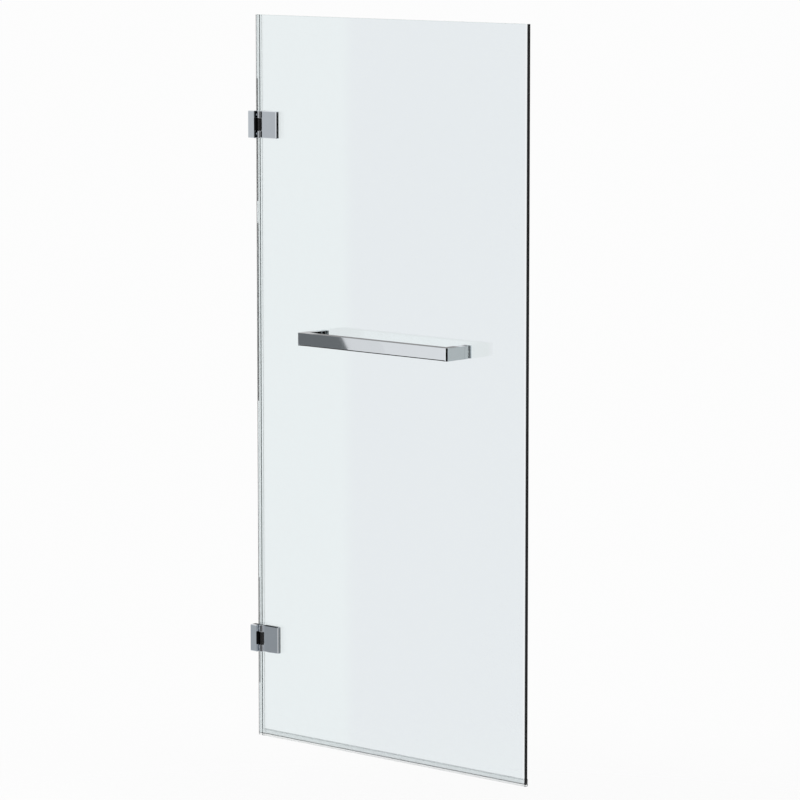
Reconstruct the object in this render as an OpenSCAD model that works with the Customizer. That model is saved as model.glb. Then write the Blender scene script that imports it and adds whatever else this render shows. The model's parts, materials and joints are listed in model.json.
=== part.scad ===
// Out-swing tub door of clear glass: two wall hinges, a square towel bar and clear edge seals.
// X runs from the wall along the closed door, Y to its back over the tub, and Z up.
// The origin is on the lower hinge's wall face, level with its middle and in line with its pin.

/* [Glass] */
// Width of the glass sheet
glass_w = 731; // [620:1:900]
// Height of the glass sheet
glass_h = 1496; // [1250:1:1900]
// Thickness of the glass sheet
glass_t = 8; // [6:1:10]
// Size of the small polished bevel on the edges of the glass
glass_arris = 0.6; // [0.3:0.1:1]

/* [Edge seals] */
// Wall thickness of both clear seals
seal_wall = 1; // [0.8:0.1:1.4]
// Reach of the hinge-side seal over the face of the glass
hinge_seal_reach = 10.5; // [6:0.5:12]
// Reach of the bottom seal up the face of the glass
bottom_seal_reach = 10; // [6:0.5:16]
// Clear height of the hollow chamber under the glass
bottom_seal_chamber = 2; // [1.5:0.5:6]

/* [Hinge places] */
// Gap between the wall and the hinge-side seal
wall_gap = 5.8; // [4:0.1:9]
// Height of the lower hinge's middle above the bottom edge of the glass
lower_hinge_up = 204; // [120:1:320]
// Depth of the upper hinge's middle below the top edge of the glass
upper_hinge_down = 223.5; // [120:0.5:320]

/* [Hinge body] */
// Height of a hinge
hinge_h = 56; // [54:0.5:72]
// Outer diameter of the barrels and of the knuckle
barrel_d = 10.6; // [10.2:0.1:12.5]
// Height of the knuckle in the middle of the hinge
knuckle_h = 24; // [22:0.5:27]
// Diameter of the hinge pin
pin_d = 5; // [4:0.25:5.5]
// Wall thickness of the pin's plastic bushes
bush_wall = 0.95; // [0.7:0.05:1.1]
// Thickness of the flange of a bush
bush_flange_t = 1; // [0.6:0.1:1.6]
// Width of the flange of a bush beyond its sleeve
bush_flange_lip = 0.9; // [0.6:0.05:1.05]
// Thickness of the caps that close the barrels
pin_cap_t = 2.7; // [2:0.1:4]
// Size of the bevel on the outer edges of the hinge pieces
hinge_bevel = 0.9; // [0.6:0.1:1.4]
// Distance from the pin's axis back to the front of the seals
seal_setback = 7.3; // [6.8:0.1:9]

/* [Wall bracket] */
// Thickness of the bracket, measured out from the wall
bracket_t = 16.4; // [14:0.1:20]
// Reach of the bracket in front of the pin's axis
bracket_front = 10.2; // [9.5:0.1:14]
// Distance of the wall screws behind the pin's axis
wall_hole_back = 1.6; // [0.5:0.1:1.8]
// Height between the two holes for the wall screws
wall_hole_pitch = 39; // [38.5:0.5:43]
// Diameter of the holes for the wall screws
wall_hole_d = 5.2; // [4.5:0.1:5.6]
// Diameter of the countersinks for the heads of the wall screws
wall_sink_d = 8.8; // [8.2:0.1:9]
// Distance of the neck's front behind the front of the bracket
neck_inset = 1.8; // [1.5:0.1:3]
// Reach of the neck behind the pin's axis
neck_back = 4.6; // [4:0.1:5]
// Distance of the neck's free end short of the pin's axis
neck_short = 1.6; // [1:0.1:2.5]
// Thickness of the knuckle's foot
foot_t = 8.4; // [7:0.2:8.8]
// Depth of the knuckle's foot in the bracket
neck_foot = 4; // [2:0.5:6]
// Diameter of the screws that hold the knuckle
neck_screw_d = 4; // [3:0.5:4.5]
// Diameter of the heads of the screws that hold the knuckle
neck_head_d = 7.6; // [6.6:0.2:8]
// Height between the screws that hold the knuckle
neck_screw_pitch = 14; // [12:0.5:16]
// Metal left between the ends of those screws' holes and the pin
neck_skin = 1.5; // [1:0.1:2.5]

/* [Glass clamp] */
// Width of the front clamp plate
front_plate_w = 41; // [36:1:60]
// Thickness of the front clamp plate
front_plate_t = 7.5; // [6.5:0.1:10]
// Gap between a barrel and the front clamp plate, spanned by a web
web_gap = 0.5; // [0.3:0.1:8]
// Depth by which a web lies behind the front of its clamp plate
web_setback = 0.8; // [0.4:0.1:1.5]
// Thickness of a web
web_t = 4; // [3:0.1:4.4]
// Distance of the clamp screws from the hinge side of the front clamp plate
clamp_screw_in = 16.5; // [13:0.5:22]
// Height between the clamp screws
clamp_screw_pitch = 24; // [20:1:28]
// Diameter of the clamp screws
clamp_screw_d = 5; // [4:0.5:6]
// Diameter of the countersunk heads of the clamp screws
clamp_head_d = 9.2; // [8.4:0.2:10]
// Metal left in front of the blind screw holes in the front clamp plate
front_plate_skin = 2; // [1.5:0.1:3]
// Width of the back clamp plate
back_plate_w = 22; // [18:1:24]
// Height of the back clamp plate
back_plate_h = 40; // [38:1:50]
// Thickness of the back clamp plate
back_plate_t = 4; // [3.5:0.5:6]
// Thickness of the gaskets between the clamp plates and the glass
gasket_t = 1; // [0.6:0.1:1.5]
// Distance of the gaskets' edges inside the edges of their plates
gasket_inset = 0.6; // [0.4:0.1:1.2]
// Diameter of the holes in the glass for the clamp screws
clamp_hole_d = 10; // [9:0.5:14]

/* [Towel bar] */
// Overall width of the towel bar
bar_w = 406; // [250:1:520]
// Height of the bar and of its posts
bar_h = 26; // [24:0.5:34]
// Thickness of the bar, and width of its posts
bar_t = 18; // [16.5:0.5:24]
// Distance from the glass to the front of the bar
bar_reach = 65; // [55:1:90]
// Height of the bar's middle above the bottom edge of the glass
bar_up = 847.5; // [500:0.5:1100]
// Distance of the bar's middle from the middle of the glass, away from the hinges
bar_shift = 12.5; // [-10:0.5:30]
// Size of the bevel on the edges of the bar
bar_bevel = 1; // [0.5:0.1:1.5]
// Thickness of the square bases between the posts and the glass
base_t = 11.5; // [8:0.5:16]
// Size of the bevel on the edges of the bases and back plates
base_bevel = 0.5; // [0.3:0.1:1]
// Thickness of the clear washers on both faces of the glass
bar_washer_t = 0.5; // [0.5:0.1:1]
// Distance of the washers' edges inside the edges of the bases
bar_washer_inset = 0.6; // [0.4:0.1:1.2]
// Thickness of the bar's back plates
bar_back_t = 4.5; // [4:0.5:7]
// Diameter of the bolts that hold the bar
bar_bolt_d = 6; // [5:0.5:7]
// Diameter of the countersunk heads of the bar's bolts
bar_head_d = 11; // [10:0.2:12]
// Diameter of the holes in the glass for the bar's bolts
bar_hole_d = 12; // [11:0.5:15]
// Width of the spigots that plug into the posts
spigot_w = 12; // [10.5:0.5:12.5]
// Height of the spigots that plug into the posts
spigot_h = 18; // [14:0.5:18.5]
// Length of the spigots that plug into the posts
spigot_len = 8; // [7:0.5:12]
// Metal left at the ends of the bolt holes in the spigots
spigot_skin = 2; // [1:0.5:3]
// Diameter of the set screws under the posts
set_screw_d = 4; // [3:0.5:5]

/* [Clearances] */
// Gap between the bracket and the barrels
barrel_gap = 0.8; // [0.5:0.1:1.5]
// Gap between the back of the bracket and the hinge-side seal
bracket_gap = 0.6; // [0.3:0.1:1]
// Gap between the knuckle and the flanges of the bushes
thrust_gap = 0.3; // [0.2:0.05:0.5]
// Gap between the pin's ends and the caps
pin_end_gap = 0.3; // [0.2:0.05:0.6]
// Running clearance around the pin, on the radius
run_gap = 0.05; // [0.02:0.01:0.1]
// Clearance around tight and threaded pieces, on the radius
tight_gap = 0.02; // [0.01:0.01:0.05]
// Clearance around pieces that slip into place
slip_gap = 0.1; // [0.05:0.01:0.2]
// Depth of the screws' heads under the faces that they are sunk into
head_recess = 0.2; // [0.1:0.05:0.4]
// Gap between a screw's tip and the end of its hole
screw_tip_gap = 0.5; // [0.2:0.1:1]

/* [Hidden] */

$fn = 64;
// Overshoot that lets a cut pass right through a face
cut = 1;

// Places of the pin's axis and of the glass
barrel_r = barrel_d / 2;
axis_x = bracket_t + barrel_gap + barrel_r;
seal_front = seal_setback;
glass_front = seal_front + seal_wall;
glass_back = glass_front + glass_t;
seal_left = wall_gap;
glass_left = seal_left + seal_wall;
glass_right = glass_left + glass_w;
glass_bottom = -lower_hinge_up;
glass_top = glass_bottom + glass_h;
upper_hinge_z = glass_top - upper_hinge_down;

// Seals around the edges of the glass
hinge_seal_end = glass_left + hinge_seal_reach;
bottom_seal_top = glass_bottom + bottom_seal_reach;
bottom_seal_bottom = glass_bottom - 2 * seal_wall - bottom_seal_chamber;

// Hinge pieces around the pin
pin_r = pin_d / 2;
bush_in_r = pin_r + run_gap;
bush_out_r = bush_in_r + bush_wall;
barrel_bottom = knuckle_h / 2 + thrust_gap + bush_flange_t;
cap_bottom = hinge_h / 2 - pin_cap_t;
pin_half = cap_bottom - pin_end_gap;

// Wall bracket
bracket_back = seal_front - bracket_gap;
neck_front = bracket_front - neck_inset;
neck_foot_x = bracket_t - neck_foot;
neck_screw_end = axis_x - pin_r - neck_skin;

// Glass clamp
plate_left = axis_x + barrel_r + web_gap;
plate_back = glass_front - gasket_t;
plate_front = plate_back - front_plate_t;
clamp_x = plate_left + clamp_screw_in;
clamp_back = glass_back + gasket_t + back_plate_t;
blind_hole_end = plate_front + front_plate_skin;

// Towel bar
bar_mid = (glass_left + glass_right) / 2 + bar_shift;
bar_left = bar_mid - bar_w / 2;
bar_z = glass_bottom + bar_up;
bar_front = glass_front - bar_reach;
base_back = glass_front - bar_washer_t;
base_front = base_back - base_t;
post_xs = [bar_left + bar_t / 2, bar_left + bar_w - bar_t / 2];
bar_clamp_back = glass_back + bar_washer_t + bar_back_t;
spigot_front = base_front - spigot_len;
bolt_end = spigot_front + spigot_skin;

// Outline of a rectangle from the origin with its corners cut off
module cut_rectangle(w, h, c) {
    polygon([[c, 0], [w - c, 0], [w, c], [w, h - c], [w - c, h], [c, h], [0, h - c], [0, c]]);
}

// Block between two opposite corners with all its edges bevelled
module bevelled_block(low, high, c) {
    s = high - low;
    translate(low) intersection() {
        linear_extrude(s[2]) cut_rectangle(s[0], s[1], c);
        translate([0, s[1], 0]) rotate([90, 0, 0]) linear_extrude(s[1]) cut_rectangle(s[0], s[2], c);
        rotate([90, 0, 90]) linear_extrude(s[0]) cut_rectangle(s[1], s[2], c);
    }
}

// Plain block between two opposite corners
module block(low, high) {
    translate(low) cube(high - low);
}

// Upright cylinder about the pin's axis between two heights
module about_pin(r, z0, z1) {
    translate([axis_x, 0, z0]) cylinder(r = r, h = z1 - z0);
}

// Rod along +Y from y0 to y1
module rod_y(x, z, r, y0, y1) {
    translate([x, y0, z]) rotate([-90, 0, 0]) cylinder(r = r, h = y1 - y0);
}

// Countersunk screw along Y, with its head's flat face at y1 and its tip at y0
module screw_y(x, z, r, head_r, y0, y1) {
    rod_y(x, z, r, y0, y1);
    translate([x, y1 - (head_r - r), z]) rotate([-90, 0, 0]) cylinder(r1 = r, r2 = head_r, h = head_r - r);
}

// Copies its children up and down from the hinge's middle
module above_and_below(pitch) {
    for (side = [-1, 1]) translate([0, 0, side * pitch / 2]) children();
}

// Glass sheet with its bevelled edges and six holes
module glass_panel() {
    color("lightcyan", 0.4) difference() {
        bevelled_block([glass_left, glass_front, glass_bottom], [glass_right, glass_back, glass_top],
                       glass_arris);
        for (z = [0, upper_hinge_z]) translate([0, 0, z])
            above_and_below(clamp_screw_pitch)
                rod_y(clamp_x, 0, clamp_hole_d / 2, glass_front - cut, glass_back + cut);
        for (x = post_xs) rod_y(x, bar_z, bar_hole_d / 2, glass_front - cut, glass_back + cut);
    }
}

// Clear channel pushed over the hinge-side edge of the glass
module hinge_seal() {
    color("whitesmoke", 0.6) difference() {
        block([seal_left, seal_front, bottom_seal_bottom],
              [hinge_seal_end, glass_back + seal_wall, glass_top]);
        block([glass_left, glass_front, bottom_seal_bottom - cut],
              [hinge_seal_end + cut, glass_back, glass_top + cut]);
    }
}

// Clear channel over the bottom edge of the glass, with a hollow chamber that wipes the tub's rim
module bottom_seal() {
    color("whitesmoke", 0.6) difference() {
        block([hinge_seal_end, seal_front, bottom_seal_bottom],
              [glass_right, glass_back + seal_wall, bottom_seal_top]);
        block([hinge_seal_end - cut, glass_front, glass_bottom],
              [glass_right + cut, glass_back, bottom_seal_top + cut]);
        block([hinge_seal_end - cut, glass_front, bottom_seal_bottom + seal_wall],
              [glass_right + cut, glass_back, glass_bottom - seal_wall]);
    }
}

// Block screwed to the wall, with a pocket for the knuckle's foot
module wall_bracket() {
    sink_depth = (wall_sink_d - wall_hole_d) / 2;
    neck_sink_depth = (neck_head_d - neck_screw_d) / 2 + head_recess;
    pocket = [neck_foot + cut, foot_t + 2 * slip_gap, knuckle_h + 2 * slip_gap];
    color("silver") difference() {
        bevelled_block([0, -bracket_front, -hinge_h / 2], [bracket_t, bracket_back, hinge_h / 2],
                       hinge_bevel);
        translate([neck_foot_x, -pocket[1] / 2, -pocket[2] / 2]) cube(pocket);
        above_and_below(wall_hole_pitch) translate([0, wall_hole_back, 0]) rotate([0, 90, 0]) {
            translate([0, 0, -cut]) cylinder(d = wall_hole_d, h = bracket_t + 2 * cut);
            translate([0, 0, bracket_t - sink_depth])
                cylinder(r1 = wall_hole_d / 2, r2 = wall_sink_d / 2 + cut, h = sink_depth + cut);
        }
        above_and_below(neck_screw_pitch) rotate([0, 90, 0]) {
            translate([0, 0, -cut]) cylinder(r = neck_screw_d / 2 + slip_gap, h = bracket_t);
            translate([0, 0, -cut])
                cylinder(r1 = neck_head_d / 2 + slip_gap + head_recess + cut,
                         r2 = neck_screw_d / 2 + slip_gap, h = neck_sink_depth + cut);
        }
    }
}

// Middle knuckle with a wide neck on the bracket and a foot let into it
module knuckle() {
    color("black") difference() {
        union() {
            about_pin(barrel_r, -knuckle_h / 2, knuckle_h / 2);
            block([neck_foot_x, -foot_t / 2, -knuckle_h / 2], [axis_x, foot_t / 2, knuckle_h / 2]);
            block([bracket_t, -neck_front, -knuckle_h / 2], [axis_x - neck_short, neck_back, knuckle_h / 2]);
        }
        about_pin(pin_r + tight_gap, -knuckle_h / 2 - cut, knuckle_h / 2 + cut);
        above_and_below(neck_screw_pitch) rotate([0, 90, 0])
            cylinder(r = neck_screw_d / 2 + tight_gap, h = neck_screw_end);
    }
}

// Screws that pull the knuckle's foot into the bracket from the wall side
module knuckle_screws() {
    color("dimgray") above_and_below(neck_screw_pitch) rotate([0, 0, 90])
        screw_y(0, 0, neck_screw_d / 2, neck_head_d / 2, screw_tip_gap - neck_screw_end, -head_recess);
}

// Pin that is tight in the knuckle and runs in the bushes
module hinge_pin() {
    color("gainsboro") about_pin(pin_r, -pin_half, pin_half);
}

// Flanged plastic bushes in both barrels
module bushes() {
    color("ivory") for (side = [0, 1]) mirror([0, 0, side]) difference() {
        union() {
            about_pin(bush_out_r, barrel_bottom - bush_flange_t, pin_half);
            about_pin(bush_out_r + bush_flange_lip, barrel_bottom - bush_flange_t, barrel_bottom);
        }
        about_pin(bush_in_r, barrel_bottom - bush_flange_t - cut, pin_half + cut);
    }
}

// Caps that close the barrels and keep the pin in
module pin_caps() {
    color("silver") for (side = [0, 1]) mirror([0, 0, side])
        about_pin(bush_out_r, cap_bottom, hinge_h / 2);
}

// Front clamp plate with its two barrels
module front_plate() {
    color("silver") difference() {
        union() {
            bevelled_block([plate_left, plate_front, -hinge_h / 2],
                           [plate_left + front_plate_w, plate_back, hinge_h / 2], hinge_bevel);
            for (side = [0, 1]) mirror([0, 0, side]) {
                about_pin(barrel_r, barrel_bottom, hinge_h / 2);
                block([axis_x, plate_front + web_setback, barrel_bottom],
                      [plate_left + 2 * hinge_bevel, plate_front + web_setback + web_t,
                       hinge_h / 2 - hinge_bevel]);
            }
        }
        for (side = [0, 1]) mirror([0, 0, side])
            about_pin(bush_out_r + tight_gap, barrel_bottom - cut, hinge_h / 2 + cut);
        above_and_below(clamp_screw_pitch)
            rod_y(clamp_x, 0, clamp_screw_d / 2 + tight_gap, blind_hole_end, plate_back + cut);
    }
}

// Soft gasket between the front clamp plate and the glass
module front_gasket() {
    color("dimgray") difference() {
        block([plate_left + gasket_inset, plate_back, gasket_inset - hinge_h / 2],
              [plate_left + front_plate_w - gasket_inset, glass_front, hinge_h / 2 - gasket_inset]);
        above_and_below(clamp_screw_pitch)
            rod_y(clamp_x, 0, clamp_screw_d / 2 + slip_gap, plate_back - cut, glass_front + cut);
    }
}

// Plastic sleeves that keep the clamp screws off the glass
module glass_sleeves() {
    color("ivory") above_and_below(clamp_screw_pitch) difference() {
        rod_y(clamp_x, 0, clamp_hole_d / 2 - slip_gap, glass_front, glass_back);
        rod_y(clamp_x, 0, clamp_screw_d / 2 + slip_gap, glass_front - cut, glass_back + cut);
    }
}

// Soft gasket between the glass and the back clamp plate
module back_gasket() {
    half_w = back_plate_w / 2 - gasket_inset;
    half_h = back_plate_h / 2 - gasket_inset;
    color("dimgray") difference() {
        block([clamp_x - half_w, glass_back, -half_h], [clamp_x + half_w, glass_back + gasket_t, half_h]);
        above_and_below(clamp_screw_pitch)
            rod_y(clamp_x, 0, clamp_screw_d / 2 + slip_gap, glass_back - cut, glass_back + gasket_t + cut);
    }
}

// Back clamp plate with countersunk holes
module back_plate() {
    color("silver") difference() {
        bevelled_block([clamp_x - back_plate_w / 2, glass_back + gasket_t, -back_plate_h / 2],
                       [clamp_x + back_plate_w / 2, clamp_back, back_plate_h / 2], base_bevel);
        above_and_below(clamp_screw_pitch)
            screw_y(clamp_x, 0, clamp_screw_d / 2 + slip_gap,
                    clamp_head_d / 2 + slip_gap + head_recess + cut, glass_back, clamp_back + cut);
    }
}

// Screws that pull the back clamp plate to the front one
module clamp_screws() {
    color("gainsboro") above_and_below(clamp_screw_pitch)
        screw_y(clamp_x, 0, clamp_screw_d / 2, clamp_head_d / 2, blind_hole_end + screw_tip_gap,
                clamp_back - head_recess);
}

// Towel bar with its two posts, which are hollow at their ends
module towel_bar() {
    pocket_w = spigot_w + 2 * slip_gap;
    pocket_h = spigot_h + 2 * slip_gap;
    color("silver") translate([0, 0, bar_z]) difference() {
        union() {
            bevelled_block([bar_left, bar_front, -bar_h / 2],
                           [bar_left + bar_w, bar_front + bar_t, bar_h / 2], bar_bevel);
            for (x = post_xs)
                bevelled_block([x - bar_t / 2, bar_front, -bar_h / 2], [x + bar_t / 2, base_front, bar_h / 2],
                               bar_bevel);
        }
        for (x = post_xs) {
            block([x - pocket_w / 2, spigot_front - slip_gap, -pocket_h / 2],
                  [x + pocket_w / 2, base_front + cut, pocket_h / 2]);
            translate([x, base_front - spigot_len / 2, -bar_h / 2 - cut])
                cylinder(r = set_screw_d / 2 + tight_gap, h = bar_h / 2);
        }
    }
}

// Square bases on the glass, each with a spigot for its post
module bar_bases() {
    color("silver") translate([0, 0, bar_z]) for (x = post_xs) difference() {
        union() {
            bevelled_block([x - bar_t / 2, base_front, -bar_h / 2], [x + bar_t / 2, base_back, bar_h / 2],
                           base_bevel);
            block([x - spigot_w / 2, spigot_front, -spigot_h / 2],
                  [x + spigot_w / 2, base_front + 2 * base_bevel, spigot_h / 2]);
        }
        rod_y(x, 0, bar_bolt_d / 2 + tight_gap, bolt_end, base_back + cut);
    }
}

// Set screws that hold the posts on the spigots, from below
module bar_set_screws() {
    color("dimgray") for (x = post_xs)
        translate([x, base_front - spigot_len / 2, bar_z - bar_h / 2 + head_recess])
            cylinder(d = set_screw_d, h = (bar_h - spigot_h) / 2 - head_recess);
}

// Clear washers between a face of the glass and the bar's fittings, with one face at y0
module bar_washers(y0) {
    half_w = bar_t / 2 - bar_washer_inset;
    half_h = bar_h / 2 - bar_washer_inset;
    color("whitesmoke", 0.6) translate([0, 0, bar_z]) for (x = post_xs) difference() {
        block([x - half_w, y0, -half_h], [x + half_w, y0 + bar_washer_t, half_h]);
        rod_y(x, 0, bar_bolt_d / 2 + slip_gap, y0 - cut, y0 + bar_washer_t + cut);
    }
}

// Plastic sleeves that keep the bar's bolts off the glass
module bar_sleeves() {
    color("ivory") for (x = post_xs) difference() {
        rod_y(x, bar_z, bar_hole_d / 2 - slip_gap, glass_front, glass_back);
        rod_y(x, bar_z, bar_bolt_d / 2 + slip_gap, glass_front - cut, glass_back + cut);
    }
}

// Square plates behind the glass with countersunk holes
module bar_back_plates() {
    color("silver") translate([0, 0, bar_z]) for (x = post_xs) difference() {
        bevelled_block([x - bar_t / 2, glass_back + bar_washer_t, -bar_h / 2],
                       [x + bar_t / 2, bar_clamp_back, bar_h / 2], base_bevel);
        screw_y(x, 0, bar_bolt_d / 2 + slip_gap, bar_head_d / 2 + slip_gap + head_recess + cut,
                glass_back, bar_clamp_back + cut);
    }
}

// Bolts through the glass into the bases
module bar_bolts() {
    color("gainsboro") for (x = post_xs)
        screw_y(x, bar_z, bar_bolt_d / 2, bar_head_d / 2, bolt_end + screw_tip_gap,
                bar_clamp_back - head_recess);
}

// Raises its children from the lower hinge to the upper one
module at_upper_hinge() {
    translate([0, 0, upper_hinge_z]) children();
}

glass_panel();
hinge_seal();
bottom_seal();
wall_bracket();  // lower_wall_bracket
knuckle();  // lower_knuckle
knuckle_screws();  // lower_knuckle_screws
hinge_pin();  // lower_hinge_pin
bushes();  // lower_bushes
pin_caps();  // lower_pin_caps
front_plate();  // lower_front_plate
front_gasket();  // lower_front_gasket
glass_sleeves();  // lower_glass_sleeves
back_gasket();  // lower_back_gasket
back_plate();  // lower_back_plate
clamp_screws();  // lower_clamp_screws
at_upper_hinge() wall_bracket();  // upper_wall_bracket
at_upper_hinge() knuckle();  // upper_knuckle
at_upper_hinge() knuckle_screws();  // upper_knuckle_screws
at_upper_hinge() hinge_pin();  // upper_hinge_pin
at_upper_hinge() bushes();  // upper_bushes
at_upper_hinge() pin_caps();  // upper_pin_caps
at_upper_hinge() front_plate();  // upper_front_plate
at_upper_hinge() front_gasket();  // upper_front_gasket
at_upper_hinge() glass_sleeves();  // upper_glass_sleeves
at_upper_hinge() back_gasket();  // upper_back_gasket
at_upper_hinge() back_plate();  // upper_back_plate
at_upper_hinge() clamp_screws();  // upper_clamp_screws
towel_bar();
bar_bases();
bar_set_screws();
bar_washers(base_back);  // bar_front_washers
bar_sleeves();
bar_washers(glass_back);  // bar_back_washers
bar_back_plates();
bar_bolts();
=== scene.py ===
import json
import math

import bpy
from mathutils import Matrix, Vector


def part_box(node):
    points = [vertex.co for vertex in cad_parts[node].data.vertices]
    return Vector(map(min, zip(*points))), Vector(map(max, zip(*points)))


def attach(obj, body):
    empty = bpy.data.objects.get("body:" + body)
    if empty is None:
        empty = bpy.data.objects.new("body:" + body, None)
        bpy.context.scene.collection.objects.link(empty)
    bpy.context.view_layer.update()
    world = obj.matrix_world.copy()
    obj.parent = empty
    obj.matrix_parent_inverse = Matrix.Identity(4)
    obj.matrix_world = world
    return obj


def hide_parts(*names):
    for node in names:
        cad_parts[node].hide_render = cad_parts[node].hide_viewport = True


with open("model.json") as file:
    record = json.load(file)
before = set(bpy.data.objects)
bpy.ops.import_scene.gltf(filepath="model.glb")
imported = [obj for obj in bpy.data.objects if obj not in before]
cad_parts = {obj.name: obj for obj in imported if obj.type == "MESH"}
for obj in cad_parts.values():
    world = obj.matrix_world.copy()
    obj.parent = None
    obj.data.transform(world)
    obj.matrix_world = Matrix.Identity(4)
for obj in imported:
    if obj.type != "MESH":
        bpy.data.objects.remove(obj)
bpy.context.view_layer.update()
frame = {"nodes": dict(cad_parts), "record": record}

MM = 0.001

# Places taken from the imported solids
LOWER_BRACKET_LOW, LOWER_BRACKET_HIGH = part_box("lower_wall_bracket")
UPPER_BRACKET_LOW, UPPER_BRACKET_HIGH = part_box("upper_wall_bracket")
UPPER_HINGE_Z = (UPPER_BRACKET_LOW.z + UPPER_BRACKET_HIGH.z) / 2
HINGE_HALF = LOWER_BRACKET_HIGH.z
PIN_LOW, PIN_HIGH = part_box("lower_hinge_pin")
PIN_X = (PIN_LOW.x + PIN_HIGH.x) / 2
KNUCKLE_LOW, KNUCKLE_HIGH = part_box("lower_knuckle")
BARREL_R = KNUCKLE_HIGH.y
PLATE_LOW, PLATE_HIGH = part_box("lower_front_plate")
CLAMP_LOW, CLAMP_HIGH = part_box("lower_clamp_screws")
CLAMP_X = (CLAMP_LOW.x + CLAMP_HIGH.x) / 2
BACK_PLATE_LOW, BACK_PLATE_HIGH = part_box("lower_back_plate")
CAP_LOW, CAP_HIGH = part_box("lower_pin_caps")
CAP_R = CAP_HIGH.y
BAR_LOW, BAR_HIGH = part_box("towel_bar")
BASE_LOW, BASE_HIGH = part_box("bar_bases")
BAR_PLATE_LOW, BAR_PLATE_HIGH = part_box("bar_back_plates")
BOLT_LOW, BOLT_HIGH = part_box("bar_bolts")
SET_LOW, SET_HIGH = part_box("bar_set_screws")
GLASS_LOW, GLASS_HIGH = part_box("glass_panel")
SIDE_SEAL_LOW, SIDE_SEAL_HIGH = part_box("hinge_seal")
RIM_SEAL_LOW, RIM_SEAL_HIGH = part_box("bottom_seal")
BAR_Z = (BAR_LOW.z + BAR_HIGH.z) / 2
BAR_H = BAR_HIGH.z - BAR_LOW.z

# Sizes repeated from the part's source, in metres
BARREL_BOTTOM = 13.3 * MM
PLATE_LEFT = 28.3 * MM
PLATE_PROUD, PLATE_THICK, PLATE_SKIN = 0.8 * MM, 7.5 * MM, 2 * MM
WEB_FRONT, WEB_BACK = 0.6 * MM, 4.6 * MM
WEB_TOP, WEB_REACH = 27.1 * MM, 1.8 * MM
CLAMP_PITCH = 24 * MM
CLAMP_SCREW_R, CLAMP_HEAD_R = 2.5 * MM, 4.6 * MM
CAP_THICK = 2.7 * MM
WALL_HOLE_Y = 1.6 * MM
WALL_HOLE_PITCH, WALL_HOLE_R, WALL_SINK_R = 39 * MM, 2.6 * MM, 4.4 * MM
FOOT_HALF, FOOT_X = 4.2 * MM, 12.4 * MM
NECK_BACK, NECK_SHORT = 4.6 * MM, 1.6 * MM
NECK_SCREW_PITCH, NECK_SCREW_R, NECK_HEAD_R = 14 * MM, 2 * MM, 3.8 * MM
NECK_HOLE_SHORT, NECK_SCREW_SHORT = 1.5 * MM, 2 * MM
BAR_T = 18 * MM
BOLT_R, BOLT_HEAD_R = 3 * MM, 5.5 * MM
BOLT_HOLE_SHORT, BOLT_HOLE_LONG = 2 * MM, 30 * MM
SPIGOT_HALF_W, SPIGOT_HALF_H, SPIGOT_LEN = 6 * MM, 9 * MM, 8 * MM
SET_SCREW_R = 2 * MM
SLIP = 0.1 * MM
TIGHT = 0.02 * MM
RECESS = 0.2 * MM
SEAL_WALL = 1 * MM
SEAL_CHAMBER = 2 * MM
POST_XS = [BAR_LOW.x + BAR_T / 2, BAR_HIGH.x - BAR_T / 2]

# Hair of air that the clear seals keep from the glass
AIR = 0.04 * MM

# Hexagon sockets: widths across the flats, two depths, and one as a share of the screw's head
CLAMP_KEY, BOLT_KEY, NECK_KEY, SET_KEY = 3 * MM, 4 * MM, 2.5 * MM, 2 * MM
NECK_SOCKET, SET_SOCKET = 1.5 * MM, 1.6 * MM
SOCKET_SHARE = 0.9

# Roundings of corners and edges
BRACKET_CORNER, BRACKET_EDGE = 1.4 * MM, 0.4 * MM
KNUCKLE_EDGE = 0.4 * MM
PLATE_CORNER, PLATE_CHAMFER = 1.5 * MM, 1.3 * MM
BARREL_RIM, WEB_EDGE = 0.7 * MM, 0.5 * MM
CAP_RIM, CAP_RING, CAP_DISH = 0.5 * MM, 0.8 * MM, 0.4 * MM
BACK_PLATE_CORNER, BACK_PLATE_RIM, BACK_PLATE_EDGE = 2.5 * MM, 1.2 * MM, 0.15 * MM
BAR_CORNER, BAR_UNDER, BAR_EDGE = 4 * MM, 2.2 * MM, 1.3 * MM
BASE_EDGE, SPIGOT_EDGE = 0.7 * MM, 0.5 * MM
SEAL_EDGE = 0.25 * MM
FINE_EDGE = 0.12 * MM

# How far a cutting shape stands past the surface that it cuts
PAST = 1 * MM


# Modelling helpers
def nothing_selected():
    """Deselects every object, so that an operator acts on the new piece alone"""
    bpy.ops.object.select_all(action="DESELECT")


def only(piece):
    """Selects one piece and makes it active"""
    nothing_selected()
    piece.select_set(True)
    bpy.context.view_layer.objects.active = piece


def leave_edit_mode():
    """Goes back to object mode"""
    bpy.ops.object.mode_set(mode="OBJECT")


def add_block(name, low, high):
    """Adds a block between two opposite corners"""
    nothing_selected()
    low, high = Vector(low), Vector(high)
    bpy.ops.mesh.primitive_cube_add(size=1, location=(low + high) / 2, scale=high - low)
    block = bpy.context.active_object
    block.name = name
    bpy.ops.object.transform_apply(location=True, rotation=True, scale=True)
    return block


TURN_TO = {"X": (0, math.pi / 2, 0), "Y": (-math.pi / 2, 0, 0), "Z": (0, 0, 0)}


def add_cone(name, start, axis, length, r_start, r_end, sides=64):
    """Adds a rod or cone that runs from start along an axis, in the axis's own direction"""
    nothing_selected()
    step = Vector([length if axis == letter else 0 for letter in "XYZ"])
    bpy.ops.mesh.primitive_cone_add(vertices=sides, radius1=r_start, radius2=r_end, depth=length,
                                    location=Vector(start) + step / 2, rotation=TURN_TO[axis])
    cone = bpy.context.active_object
    cone.name = name
    bpy.ops.object.transform_apply(location=True, rotation=True, scale=True)
    return cone


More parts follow.
